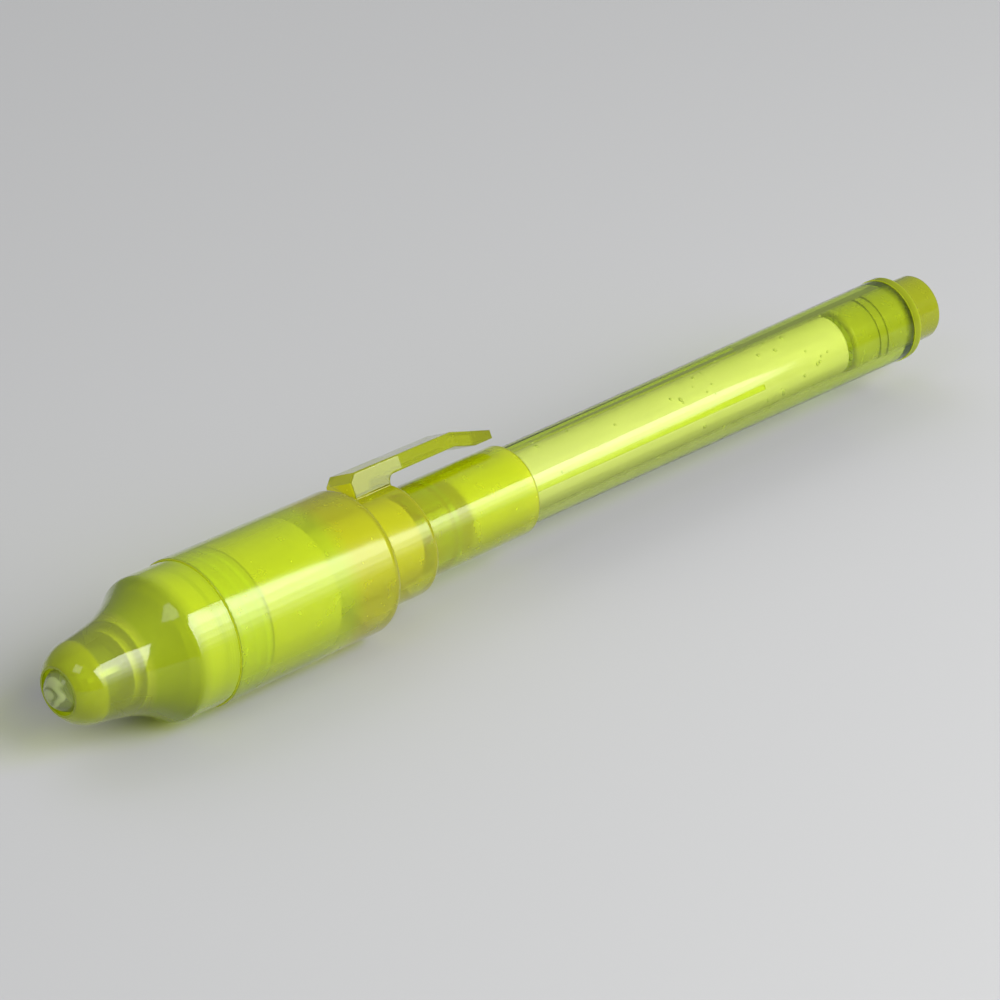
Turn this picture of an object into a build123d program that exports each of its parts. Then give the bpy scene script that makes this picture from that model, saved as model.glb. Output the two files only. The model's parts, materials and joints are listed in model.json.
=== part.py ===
from build123d import *

import os
from math import cos, radians, sin, sqrt

# Invisible-ink marker whose cap carries a small ultraviolet lamp.
# Units are millimetres. X runs along the pen from the lamp (-X) to the tail (+X) and Z is up.
# The origin is the centre of the flat end of the tail stub.

# Lengths along the pen, from the tail forward
stub_length = 4.5
barrel_exposed = 62.2
sleeve_length = 16.15
collar_length = 6.95
shell_length = 23.1
band_length = 5.3
flare_length = 6.5
neck_length = 3.2
dome_length = 2.9
lens_reach = 1.2

# Clearances
push_fit = 0.03
slide_fit = 0.1
seat_gap = 0.2
touch_gap = 0.05

# Barrel
barrel_tail_radius = 4.85
barrel_mouth_radius = 4.57
barrel_bore_radius = 3.75
lip_height = 0.09
lip_length = 1.3
lip_rounding = 0.4
insert_length = 12.0
bore_floor = 1.0
section_radius = 3.9
section_length = 3.0
cone_length = 6.0
nib_tube_radius = 1.9
nib_tube_length = 2.0
rib_count = 4
rib_width = 0.55
rib_angle = 73.0
rib_stop = 25.5

# Nib, reservoir and tail plug
nib_radius = 1.0
nib_reach = 3.0
nib_bite = 4.0
nib_point_radius = 0.4
reservoir_radius = 3.5
reservoir_front_gap = 2.0
reservoir_rear_gap = 0.6
reservoir_rounding = 0.5
film_thickness = 0.08
film_setback = 0.6
stub_radius = 3.79
stub_rounding = 0.5
plug_depth = 10.5
plug_wall = 1.0
groove_count = 2
groove_depth = 0.2
groove_width = 0.4
groove_pitch = 1.3
groove_setback = 5.0

# Cap body
sleeve_wall = 0.49
sleeve_draft = 0.06
mouth_rounding = 0.3
collar_radius = 6.35
collar_share = 0.62
shell_front_radius = 8.2
shell_draft = 0.12
shell_wall = 0.9
rim_share = 0.7
bulkhead_length = 8.0
bulkhead_floor = 1.5
inner_cap_floor = 0.8
inner_cap_setback = 1.8

# Pocket clip
clip_lean = 27.0
clip_width = 4.4
clip_gap = 1.75
clip_arm = 1.65
clip_root_setback = 1.4
clip_root_rise = 0.15
clip_bevel = 0.9
clip_slot_setback = 5.2
clip_tip_setback = 1.3
clip_pad_length = 2.5
clip_pad_gap = 1.0
clip_tip_height = 0.95
clip_bend_length = 5.3
clip_rounding = 0.25

# Nose cone
seam_step = 0.2
nose_wall = 0.8
rim_land = 0.25
dome_radius = 4.54
neck_radius = 5.06
shoulder_rounding = 1.3
spigot_length = 5.0
spigot_wall = 0.9
spigot_set = 1.0

# Lamp
lens_radius = 2.45
lens_length = 8.6
flange_radius = 2.9
flange_length = 1.0
flange_flat = 0.35
lead_size = 0.5
lead_pitch = 2.54
cup_setback = 3.2
cup_radius = 0.7
cup_length = 1.0
cup_recess = 0.4
cup_floor_radius = 0.35
anvil_length = 1.2
flag_setback = 3.6
flag_length = 1.0
flag_reach = 0.3
die_size = 0.3
die_height = 0.15

# Battery carrier and button cells
cell_count = 3
switch_room = 3.23
cell_height = 3.6
can_wall = 0.25
can_depth = 3.1
can_crimp = 0.45
can_rounding = 0.3
lid_setback = 0.75
lid_rounding = 0.2
carrier_wall = 0.6
carrier_play = 0.2
carrier_face_setback = 2.1
ring_catch = 0.35
seat_wall = 0.8
lens_socket = 0.5
lead_slot = 0.9
lead_step = 1.2
lead_foot = 1.4

# Push button and switch strip
button_angle = 120.0
button_width = 4.0
button_rise = 0.6
button_rounding = 0.5
button_flange = 0.5
button_flange_height = 0.5
button_margin = 1.0
foot_radius = 1.2
foot_height = 0.4
strip_thickness = 0.25
strip_width = 2.4
strip_tongue = 2.0
strip_rise_start = 3.2
strip_rise_end = 1.0
strip_free_end = 3.0
strip_overlap = 1.6

# Stations along X
x_tube_end = -stub_length
x_mouth = x_tube_end - barrel_exposed
x_collar = x_mouth - sleeve_length
x_rim = x_collar - collar_length
x_seam = x_rim - shell_length
x_shoulder = x_seam - band_length
x_neck = x_shoulder - flare_length
x_dome = x_neck - neck_length
x_hole = x_dome - dome_length
x_lens = x_hole - lens_reach
x_front = x_mouth - insert_length
x_cone = x_front - section_length
x_nib_tube = x_cone - cone_length
x_barrel_tip = x_nib_tube - nib_tube_length
x_nib = x_barrel_tip - nib_reach
x_plug = x_tube_end - plug_depth
x_floor = x_rim - bulkhead_length
x_spigot = x_seam + spigot_length
x_catch = x_seam - spigot_set
x_button = (x_spigot + x_floor) / 2
x_carrier = x_floor - carrier_play - strip_thickness
x_pocket = x_carrier - cell_count * cell_height - lead_size - touch_gap
x_lamp = x_lens + lens_length

# Radii that follow from the fits
sleeve_bore_radius = barrel_mouth_radius + slide_fit
mouth_radius = sleeve_bore_radius + sleeve_wall
sleeve_root_radius = mouth_radius + sleeve_draft
chamber_radius = section_radius + 2 * slide_fit
shell_rear_radius = shell_front_radius - shell_draft
shell_bore_radius = shell_rear_radius - shell_wall
band_radius = shell_front_radius - seam_step
spigot_radius = shell_bore_radius - slide_fit
spigot_bore_radius = spigot_radius - spigot_wall
carrier_radius = shell_bore_radius - slide_fit
tenon_radius = spigot_bore_radius - slide_fit
ring_radius = spigot_bore_radius + ring_catch
hole_radius = lens_radius + slide_fit
cell_radius = shell_bore_radius - switch_room
lid_radius = cell_radius - lid_setback
pocket_radius = cell_radius + slide_fit
strip_seat = pocket_radius + carrier_wall
lead_half = lead_size / 2
lead_height = lead_pitch / 2

# Heights of the push button above the pen's axis, and its length between spigot and bulkhead
flange_half_width = button_width / 2 + button_flange
flange_top = sqrt(shell_bore_radius**2 - flange_half_width**2) - slide_fit
flange_bottom = flange_top - button_flange_height
foot_bottom = flange_bottom - foot_height
button_length = x_floor - x_spigot - 2 * (button_flange + button_margin)


def tilted_plane(angle):
    """Plane through the pen's axis: local x along the pen, local y leaning from +Z towards +Y."""
    lean = radians(angle)
    return Plane(origin=(0, 0, 0), x_dir=(1, 0, 0), z_dir=(0, -cos(lean), sin(lean)))


def radial_plane(x, angle, height):
    """Plane square to the radius that leans from +Z towards +Y, at a height above the axis."""
    lean = radians(angle)
    facing = Vector(0, sin(lean), cos(lean))
    return Plane(origin=Vector(x, 0, 0) + facing * height, x_dir=(1, 0, 0), z_dir=facing)


def outline(*points, plane=Plane.XY):
    """Closed straight-sided face through the given points of a plane."""
    with BuildSketch(plane) as face:
        with BuildLine():
            Polyline(*points, close=True)
        make_face()
    return face.sketch


def rectangle(x_low, x_high, y_low, y_high, plane=Plane.XY):
    """Rectangular face between two pairs of limits of a plane."""
    return outline((x_low, y_low), (x_high, y_low), (x_high, y_high), (x_low, y_high), plane=plane)


def flared_outline(x_start, start_radius, inset, x_end):
    """Half section of the nose: neck from its start, hollow flare and band, all drawn in by an inset."""
    with BuildSketch() as face:
        with BuildLine():
            neck = Line((x_start, start_radius - inset), (x_neck, neck_radius - inset))
            flare = TangentArc(neck @ 1, (x_shoulder, band_radius - inset), tangent=neck % 1)
            Polyline(flare @ 1, (x_end, band_radius - inset), (x_end, 0), (x_start, 0), neck @ 0)
        make_face()
    return face.sketch


def save(builder, name):
    """Label a finished piece and write it under its name."""
    builder.part.label = name
    export_step(builder.part, f"parts/{name}.step")


os.makedirs("parts", exist_ok=True)

# Barrel: drafted clear tube with a lip at the tail, a stepped front and ribs that hold the reservoir
lip_radius = barrel_tail_radius + lip_height
bore_front = x_front + bore_floor
nib_bore_radius = nib_radius + push_fit
rib_tip_radius = reservoir_radius + push_fit
rib_root_radius = barrel_bore_radius + push_fit
with BuildPart() as barrel:
    revolve(
        outline(
            (x_tube_end, 0),
            (x_tube_end, lip_radius),
            (x_tube_end - lip_length, lip_radius),
            (x_tube_end - lip_length, barrel_tail_radius),
            (x_mouth, barrel_mouth_radius),
            (x_front, barrel_mouth_radius),
            (x_front, section_radius),
            (x_cone, section_radius),
            (x_nib_tube, nib_tube_radius),
            (x_barrel_tip, nib_tube_radius),
            (x_barrel_tip, 0),
        ),
        axis=Axis.X,
    )
    fillet(barrel.faces().sort_by(Axis.X)[-1].edges(), lip_rounding)
    revolve(rectangle(bore_front, x_tube_end, 0, barrel_bore_radius), axis=Axis.X, mode=Mode.SUBTRACT)
    revolve(rectangle(x_barrel_tip, bore_front, 0, nib_bore_radius), axis=Axis.X, mode=Mode.SUBTRACT)
    with BuildSketch(Plane.YZ.offset(bore_front)):
        with PolarLocations((rib_tip_radius + rib_root_radius) / 2, rib_count, start_angle=rib_angle):
            Rectangle(rib_root_radius - rib_tip_radius, rib_width)
    extrude(amount=x_tube_end - rib_stop - bore_front)
save(barrel, "barrel")

# Tail plug: hollow stopper with sealing grooves and a stub that stands out of the tube
plug_radius = barrel_bore_radius - push_fit
with BuildPart() as tail_plug:
    revolve(
        outline(
            (x_plug, 0),
            (x_plug, plug_radius),
            (x_tube_end, plug_radius),
            (x_tube_end, stub_radius),
            (0, stub_radius),
            (0, 0),
        ),
        axis=Axis.X,
    )
    fillet(tail_plug.faces().sort_by(Axis.X)[-1].edges(), stub_rounding)
    fillet(tail_plug.faces().sort_by(Axis.X)[0].edges(), stub_rounding)
    revolve(
        rectangle(x_plug, -plug_wall, 0, plug_radius - plug_wall),
        axis=Axis.X,
        mode=Mode.SUBTRACT,
    )
    for step in range(groove_count):
        x_groove = x_tube_end - groove_setback - step * groove_pitch
        revolve(
            rectangle(x_groove - groove_width, x_groove, plug_radius - groove_depth, stub_radius),
            axis=Axis.X,
            mode=Mode.SUBTRACT,
        )
save(tail_plug, "tail_plug")

# Nib: fibre rod with a rounded writing point, its root pushed into the reservoir
x_reservoir = bore_front + reservoir_front_gap
x_nib_root = x_reservoir + nib_bite
with BuildPart() as nib:
    revolve(
        outline(
            (x_nib, 0),
            (x_nib, nib_point_radius),
            (x_barrel_tip - seat_gap, nib_radius),
            (x_nib_root, nib_radius),
            (x_nib_root, 0),
        ),
        axis=Axis.X,
    )
    fillet(nib.faces().sort_by(Axis.X)[0].edges(), nib_point_radius - push_fit)
save(nib, "nib")

# Ink reservoir: bonded fibre core with a socket for the nib, wrapped in a thin film
x_reservoir_end = x_plug - reservoir_rear_gap
core_radius = reservoir_radius - film_thickness - push_fit
with BuildPart() as ink_reservoir:
    revolve(rectangle(x_reservoir, x_reservoir_end, 0, core_radius), axis=Axis.X)
    fillet(ink_reservoir.edges().filter_by(GeomType.CIRCLE), reservoir_rounding)
    revolve(
        rectangle(x_reservoir, x_nib_root + push_fit, 0, nib_bore_radius),
        axis=Axis.X,
        mode=Mode.SUBTRACT,
    )
save(ink_reservoir, "ink_reservoir")

with BuildPart() as reservoir_film:
    revolve(
        rectangle(
            x_reservoir + film_setback,
            x_reservoir_end - film_setback,
            reservoir_radius - film_thickness,
            reservoir_radius,
        ),
        axis=Axis.X,
    )
save(reservoir_film, "reservoir_film")

# Pocket clip, drawn in profile in the plane of its lean: root block, arm, bent tip and rest pad
clip_plane = tilted_plane(clip_lean)
arm_bottom = sleeve_root_radius + clip_gap
arm_top = arm_bottom + clip_arm
root_top = arm_top + clip_root_rise
slot_radius = clip_gap / 2
x_root = x_rim + clip_root_setback
x_slot = x_root + clip_slot_setback + slot_radius
x_tip = x_mouth - clip_tip_setback
x_bend = x_tip - clip_bend_length
x_pad = x_tip - clip_pad_length
pad_height = mouth_radius + clip_pad_gap
with BuildPart() as clip:
    with BuildSketch(clip_plane):
        with BuildLine():
            Polyline(
                (x_slot, sleeve_root_radius),
                (x_slot, 0),
                (x_root, 0),
                (x_root, root_top - clip_bevel),
                (x_root + clip_bevel, root_top),
                (x_bend, arm_top),
                (x_tip, pad_height + clip_tip_height),
                (x_tip, pad_height),
                (x_pad, pad_height),
                (x_bend, arm_bottom),
                (x_slot, arm_bottom),
            )
            ThreePointArc(
                (x_slot, arm_bottom),
                (x_slot - slot_radius, sleeve_root_radius + slot_radius),
                (x_slot, sleeve_root_radius),
            )
        make_face()
    extrude(amount=clip_width / 2, both=True)
    arm_sides = clip.faces().filter_by(Axis((0, 0, 0), clip_plane.z_dir))
    fillet(arm_sides.edges(), clip_rounding)

# Cap body: lamp shell, collar and barrel sleeve in one moulding with the clip
x_step = x_front - seat_gap
x_blind = x_floor + bulkhead_floor
with BuildPart() as cap_body:
    revolve(
        outline(
            (x_seam, 0),
            (x_seam, shell_front_radius),
            (x_rim, shell_rear_radius),
            (x_rim, collar_radius),
            (x_collar, collar_radius),
            (x_collar, sleeve_root_radius),
            (x_mouth, mouth_radius),
            (x_mouth, 0),
        ),
        axis=Axis.X,
    )
    rings = cap_body.edges().filter_by(GeomType.CIRCLE)
    rim_ring = rings.filter_by(lambda ring: abs(ring.radius - shell_rear_radius) < push_fit)
    fillet(rim_ring, rim_share * (shell_rear_radius - collar_radius))
    rings = cap_body.edges().filter_by(GeomType.CIRCLE)
    collar_rings = rings.filter_by(lambda ring: abs(ring.radius - collar_radius) < push_fit)
    fillet(collar_rings.sort_by(Axis.X)[-1], collar_share * (collar_radius - sleeve_root_radius))
    fillet(cap_body.faces().sort_by(Axis.X)[-1].edges(), mouth_rounding)
    add(clip.part)
    revolve(rectangle(x_seam, x_floor, 0, shell_bore_radius), axis=Axis.X, mode=Mode.SUBTRACT)
    revolve(rectangle(x_step, x_mouth, 0, sleeve_bore_radius), axis=Axis.X, mode=Mode.SUBTRACT)
    revolve(rectangle(x_blind, x_step, 0, chamber_radius), axis=Axis.X, mode=Mode.SUBTRACT)
    with BuildSketch(radial_plane(x_button, button_angle, 0)):
        SlotOverall(button_length + 2 * slide_fit, button_width + 2 * slide_fit)
    extrude(amount=2 * shell_front_radius, mode=Mode.SUBTRACT)
save(cap_body, "cap_body")

# Inner cap: soft cup at the bottom of the sleeve that closes round the nib
x_cup_mouth = x_cone - inner_cap_setback
cone_slope = (section_radius - nib_tube_radius) / cone_length
cup_mouth_radius = section_radius - inner_cap_setback * cone_slope + seat_gap
nib_room_radius = nib_tube_radius + seat_gap
with BuildPart() as inner_cap:
    revolve(
        outline(
            (x_blind, 0),
            (x_blind, chamber_radius - push_fit),
            (x_cup_mouth, chamber_radius - push_fit),
            (x_cup_mouth, cup_mouth_radius),
            (x_nib_tube, nib_room_radius),
            (x_blind + inner_cap_floor, nib_room_radius),
            (x_blind + inner_cap_floor, 0),
        ),
        axis=Axis.X,
    )
save(inner_cap, "inner_cap")

# Nose cone: solid dome round the lamp, thin neck and flare, and a spigot that screws into the shell
with BuildPart() as nose_cone:
    with BuildSketch():
        with BuildLine():
            neck = Line((x_dome, dome_radius), (x_neck, neck_radius))
            TangentArc(neck @ 0, (x_hole, hole_radius + rim_land), tangent=(neck % 0) * -1)
            flare = TangentArc(neck @ 1, (x_shoulder, band_radius), tangent=neck % 1)
            Polyline(
                flare @ 1,
                (x_seam, band_radius),
                (x_seam, spigot_radius),
                (x_spigot, spigot_radius),
                (x_spigot, 0),
                (x_hole, 0),
                (x_hole, hole_radius + rim_land),
            )
        make_face()
    revolve(axis=Axis.X)
    shoulder_edge = nose_cone.edges().filter_by(GeomType.CIRCLE).filter_by(
        lambda ring: abs(ring.radius - band_radius) < push_fit
    ).sort_by(Axis.X)[0]
    fillet(shoulder_edge, shoulder_rounding)
    revolve(flared_outline(x_dome, dome_radius, nose_wall, x_catch), axis=Axis.X, mode=Mode.SUBTRACT)
    revolve(rectangle(x_catch, x_spigot, 0, spigot_bore_radius), axis=Axis.X, mode=Mode.SUBTRACT)
    revolve(rectangle(x_hole, x_dome, 0, hole_radius), axis=Axis.X, mode=Mode.SUBTRACT)
save(nose_cone, "nose_cone")

# Lamp lead frame: a cupped cathode post and an anode post, with square leads bent to their contacts
lamp_plane = tilted_plane(button_angle)
x_cup = x_lens + cup_setback
x_anvil = x_cup + cup_length
x_riser = x_pocket - lead_step
x_lead_end = x_button - strip_free_end + strip_overlap
runner_top = strip_seat + lead_size
with BuildPart() as led_cathode:
    extrude(
        rectangle(x_anvil, x_anvil + anvil_length, -cup_radius, lead_height + lead_half, lamp_plane),
        amount=lead_half,
        both=True,
    )
    extrude(
        outline(
            (x_anvil, lead_height - lead_half),
            (x_riser + lead_half, lead_height - lead_half),
            (x_riser + lead_half, strip_seat),
            (x_lead_end, strip_seat),
            (x_lead_end, runner_top),
            (x_riser - lead_half, runner_top),
            (x_riser - lead_half, lead_height + lead_half),
            (x_anvil, lead_height + lead_half),
            plane=lamp_plane,
        ),
        amount=lead_half,
        both=True,
    )
    revolve(rectangle(x_cup, x_anvil, 0, cup_radius), axis=Axis.X)
    revolve(
        outline(
            (x_cup, 0),
            (x_cup, cup_radius - push_fit),
            (x_cup + cup_recess, cup_floor_radius),
            (x_cup + cup_recess, 0),
        ),
        axis=Axis.X,
        mode=Mode.SUBTRACT,
    )
save(led_cathode, "led_cathode")

x_flag = x_lens + flag_setback
with BuildPart() as led_anode:
    extrude(
        outline(
            (x_flag, -lead_height + lead_half),
            (x_pocket + lead_size, -lead_height + lead_half),
            (x_pocket + lead_size, -lead_height - lead_half - lead_foot),
            (x_pocket, -lead_height - lead_half - lead_foot),
            (x_pocket, -lead_height - lead_half),
            (x_flag + flag_length, -lead_height - lead_half),
            (x_flag + flag_length, -lead_height - lead_half - flag_reach),
            (x_flag, -lead_height - lead_half - flag_reach),
            plane=lamp_plane,
        ),
        amount=lead_half,
        both=True,
    )
save(led_anode, "led_anode")

with BuildPart() as led_die:
    with BuildSketch(Plane.YZ.offset(x_cup + cup_recess - die_height)):
        Rectangle(die_size, die_size, rotation=-button_angle)
    extrude(amount=die_height)
save(led_die, "led_die")

# Lamp body: clear bullet lens cast round the lead frame, with a flat on its flange
with BuildPart() as led_lens:
    with BuildSketch():
        with BuildLine():
            Polyline(
                (x_lens, 0),
                (x_lamp, 0),
                (x_lamp, flange_radius),
                (x_lamp - flange_length, flange_radius),
                (x_lamp - flange_length, lens_radius),
                (x_lens + lens_radius, lens_radius),
            )
            CenterArc((x_lens + lens_radius, 0), lens_radius, 90, 90)
        make_face()
    revolve(axis=Axis.X)
    flat_height = flange_radius - flange_flat
    extrude(
        rectangle(x_lamp - flange_length, x_lamp, flat_height, 2 * flange_radius, lamp_plane),
        amount=flange_radius,
        both=True,
        mode=Mode.SUBTRACT,
    )
    add(led_cathode.part, mode=Mode.SUBTRACT)
    add(led_anode.part, mode=Mode.SUBTRACT)
    add(led_die.part, mode=Mode.SUBTRACT)
save(led_lens, "led_lens")

# Battery carrier: opaque core with a cell pocket, a flared front, a lamp seat and a switch channel
x_face = x_neck + carrier_face_setback
x_ring = x_catch - slide_fit
x_main = x_spigot + seat_gap
channel_half = button_width / 2 + button_flange + seat_gap
slot_half = lead_slot / 2
with BuildPart() as battery_carrier:
    revolve(
        flared_outline(x_dome, dome_radius, nose_wall + seat_gap + slide_fit, x_ring),
        axis=Axis.X,
    )
    revolve(rectangle(x_face, x_ring, 0, ring_radius), axis=Axis.X, mode=Mode.INTERSECT)
    revolve(
        rectangle(x_lamp - lens_socket, x_face, 0, flange_radius + seat_wall),
        axis=Axis.X,
    )
    revolve(rectangle(x_ring, x_main, 0, tenon_radius), axis=Axis.X)
    revolve(rectangle(x_main, x_carrier, 0, carrier_radius), axis=Axis.X)
    revolve(
        rectangle(x_lamp - lens_socket, x_lamp, 0, flange_radius + touch_gap),
        axis=Axis.X,
        mode=Mode.SUBTRACT,
    )
    revolve(rectangle(x_pocket, x_carrier, 0, pocket_radius), axis=Axis.X, mode=Mode.SUBTRACT)
    extrude(
        rectangle(
            x_lamp,
            x_pocket,
            -lead_height - slot_half,
            lead_height + slot_half,
            lamp_plane,
        ),
        amount=slot_half,
        both=True,
        mode=Mode.SUBTRACT,
    )
    extrude(
        outline(
            (x_riser - slot_half, 0),
            (x_riser + slot_half, 0),
            (x_riser + slot_half, strip_seat),
            (x_main, strip_seat),
            (x_main, carrier_radius),
            (x_riser - slot_half, carrier_radius),
            plane=lamp_plane,
        ),
        amount=slot_half,
        both=True,
        mode=Mode.SUBTRACT,
    )
    extrude(
        rectangle(x_main, x_carrier, strip_seat, 2 * carrier_radius, lamp_plane),
        amount=channel_half,
        both=True,
        mode=Mode.SUBTRACT,
    )
save(battery_carrier, "battery_carrier")

# Button cells: a crimped steel can, a sealing gasket and a lid over the filling
for number in range(cell_count):
    x_cell = x_pocket + lead_size + number * cell_height
    x_crimp = x_cell + can_depth
    with BuildPart() as cell_can:
        revolve(
            outline(
                (x_cell, 0),
                (x_cell, cell_radius),
                (x_crimp, cell_radius),
                (x_crimp, cell_radius - can_crimp),
                (x_crimp - can_wall, cell_radius - can_crimp),
                (x_crimp - can_wall, cell_radius - can_wall),
                (x_cell + can_wall, cell_radius - can_wall),
                (x_cell + can_wall, 0),
            ),
            axis=Axis.X,
        )
        fillet(cell_can.faces().sort_by(Axis.X)[0].edges(), can_rounding - can_wall / 2)
    save(cell_can, f"cell_can_{number + 1}")

    with BuildPart() as cell_gasket:
        revolve(
            rectangle(
                x_cell + can_wall + push_fit,
                x_crimp - can_wall - push_fit,
                lid_radius + push_fit,
                cell_radius - can_wall - push_fit,
            ),
            axis=Axis.X,
        )
    save(cell_gasket, f"cell_gasket_{number + 1}")

    with BuildPart() as cell_lid:
        revolve(
            rectangle(x_cell + can_wall + push_fit, x_cell + cell_height, 0, lid_radius),
            axis=Axis.X,
        )
        fillet(cell_lid.faces().sort_by(Axis.X)[-1].edges(), lid_rounding)
    save(cell_lid, f"cell_lid_{number + 1}")

# Contact strip: sprung tongue on the last cell, bent over the carrier and raised as the switch leaf
leaf_height = foot_bottom - touch_gap - strip_thickness
with BuildPart() as contact_strip:
    with BuildSketch(lamp_plane):
        with BuildLine():
            Polyline(
                (x_carrier, -strip_tongue),
                (x_carrier, strip_seat),
                (x_button + strip_rise_start, strip_seat),
                (x_button + strip_rise_end, leaf_height),
                (x_button - strip_free_end, leaf_height),
            )
            offset(amount=strip_thickness, side=Side.RIGHT)
        make_face()
    extrude(amount=strip_width / 2, both=True)
save(contact_strip, "contact_strip")

# Push button: crowned key with a retaining flange under the shell and a foot on the switch leaf
button_top = (shell_front_radius + shell_rear_radius) / 2 + button_rise
press_axis = Axis((0, 0, 0), lamp_plane.y_dir)
with BuildPart() as push_button:
    with BuildSketch(radial_plane(x_button, button_angle, flange_bottom)):
        SlotOverall(button_length, button_width)
    extrude(amount=button_top - flange_bottom)
    fillet(push_button.faces().sort_by(press_axis)[-1].edges(), button_rounding)
    with BuildSketch(radial_plane(x_button, button_angle, flange_bottom)):
        SlotOverall(button_length + 2 * button_flange, button_width + 2 * button_flange)
    extrude(amount=button_flange_height)
    with BuildSketch(radial_plane(x_button, button_angle, foot_bottom)):
        Circle(foot_radius)
    extrude(amount=foot_height)
save(push_button, "push_button")
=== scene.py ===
# %% [markdown]
# A marker for invisible ink, with a small ultraviolet lamp in its cap, dressed in Blender.
# The solids come packed from CAD as a fixed frame. We never move them: this lesson gives each one
# a finish and adds the fine pieces that only show close up. Everything is in metres, with X along
# the pen from the lamp to the tail and Z up.

import json
import math
import random

import bmesh
import bpy
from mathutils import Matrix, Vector


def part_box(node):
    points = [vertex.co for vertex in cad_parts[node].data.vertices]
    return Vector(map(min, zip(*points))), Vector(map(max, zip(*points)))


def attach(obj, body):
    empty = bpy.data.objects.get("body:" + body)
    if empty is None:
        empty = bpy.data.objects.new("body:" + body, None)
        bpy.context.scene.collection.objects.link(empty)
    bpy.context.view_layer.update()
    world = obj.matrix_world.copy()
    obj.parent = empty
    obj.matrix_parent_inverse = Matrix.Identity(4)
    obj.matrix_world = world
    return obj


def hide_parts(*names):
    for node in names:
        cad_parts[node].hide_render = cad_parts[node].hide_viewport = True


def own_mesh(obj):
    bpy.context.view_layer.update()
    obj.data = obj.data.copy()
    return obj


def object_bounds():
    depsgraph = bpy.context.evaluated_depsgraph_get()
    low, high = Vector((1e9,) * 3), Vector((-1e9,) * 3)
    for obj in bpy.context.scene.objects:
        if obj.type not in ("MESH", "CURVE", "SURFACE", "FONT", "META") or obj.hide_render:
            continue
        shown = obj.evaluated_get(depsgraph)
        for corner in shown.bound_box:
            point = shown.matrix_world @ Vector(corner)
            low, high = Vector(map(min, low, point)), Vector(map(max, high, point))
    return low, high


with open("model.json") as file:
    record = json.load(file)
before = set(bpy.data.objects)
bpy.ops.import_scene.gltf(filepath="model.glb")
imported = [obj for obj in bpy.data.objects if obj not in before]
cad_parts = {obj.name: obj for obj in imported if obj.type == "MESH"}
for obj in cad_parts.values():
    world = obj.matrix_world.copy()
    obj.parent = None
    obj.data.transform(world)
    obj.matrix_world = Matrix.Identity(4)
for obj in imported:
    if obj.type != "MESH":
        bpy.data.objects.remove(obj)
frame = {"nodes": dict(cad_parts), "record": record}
solids = frame["nodes"]
frame_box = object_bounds()
scene = bpy.context.scene
print("frame:", len(solids), "solids, box", [round(c, 4) for corner in frame_box for c in corner])

# %% [markdown]
# A finish in Blender is a small graph of nodes. Nearly all finishes here start the same way: a
# Principled shader, and noise that is measured in the object's own metres, so that the grain keeps
# its real size whatever we look at. A few short helpers keep that in one place: they make the
# noise, turn it into a colour or a number, and press it into the surface as relief.


# %% Start a finish
def new_finish(name):
    """An empty material with a Principled shader on its output."""
    material = bpy.data.materials.new(name)
    material.use_nodes = True
    material.node_tree.nodes.clear()
    output = material.node_tree.nodes.new("ShaderNodeOutputMaterial")
    shader = material.node_tree.nodes.new("ShaderNodeBsdfPrincipled")
    join(material, shader.outputs["BSDF"], output.inputs["Surface"])
    return material, shader


def join(material, output, socket):
    material.node_tree.links.new(output, socket)


def set_sockets(shader, **values):
    """Plain numbers on the shader's own sockets, named with low lines for spaces."""
    for name, value in values.items():
        shader.inputs[name.replace("_", " ")].default_value = value


# %% Places, noise and rings
def own_place(material):
    """The object's own coordinates, in metres."""
    return material.node_tree.nodes.new("ShaderNodeTexCoord").outputs["Object"]


def spread_out(material, scale):
    """The object's own coordinates, scaled along each axis."""
    mapping = material.node_tree.nodes.new("ShaderNodeMapping")
    mapping.inputs["Scale"].default_value = scale
    join(material, own_place(material), mapping.inputs["Vector"])
    return mapping.outputs["Vector"]


def grain(material, size, stretch=(1, 1, 1), detail=2.0):
    """Noise with features of about the given size, drawn out along an axis by stretch."""
    noise = material.node_tree.nodes.new("ShaderNodeTexNoise")
    noise.inputs["Scale"].default_value = 1.0
    noise.inputs["Detail"].default_value = detail
    join(material, spread_out(material, [1 / (size * s) for s in stretch]), noise.inputs["Vector"])
    return noise.outputs["Fac"]


def turned_rings(material, pitch):
    """Fine rings round the pen, one every pitch, as a turning tool leaves them in a mould."""
    wave = material.node_tree.nodes.new("ShaderNodeTexWave")
    wave.bands_direction = "X"
    wave.inputs["Scale"].default_value = math.tau / 20 / pitch
    join(material, own_place(material), wave.inputs["Vector"])
    return wave.outputs["Fac"]


# %% Numbers and colours from a factor
def between(material, factor, low, high, start=0.3, end=0.7):
    """A number that runs from low to high while the factor runs from start to end."""
    scale = material.node_tree.nodes.new("ShaderNodeMapRange")
    for name, value in (("From Min", start), ("From Max", end), ("To Min", low), ("To Max", high)):
        scale.inputs[name].default_value = value
    join(material, factor, scale.inputs["Value"])
    return scale.outputs["Result"]


def axis_of(material, vector, axis):
    split = material.node_tree.nodes.new("ShaderNodeSeparateXYZ")
    join(material, vector, split.inputs["Vector"])
    return split.outputs[axis]


def along_pen(material, start, end):
    """0 at one place along the pen and 1 at another."""
    return between(material, axis_of(material, own_place(material), "X"), 0.0, 1.0, start, end)


def combined(material, operation, *factors):
    """Several factors, added or multiplied."""
    total = factors[0]
    for factor in factors[1:]:
        step = material.node_tree.nodes.new("ShaderNodeMath")
        step.operation = operation
        join(material, total, step.inputs[0])
        join(material, factor, step.inputs[1])
        total = step.outputs["Value"]
    return total


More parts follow.
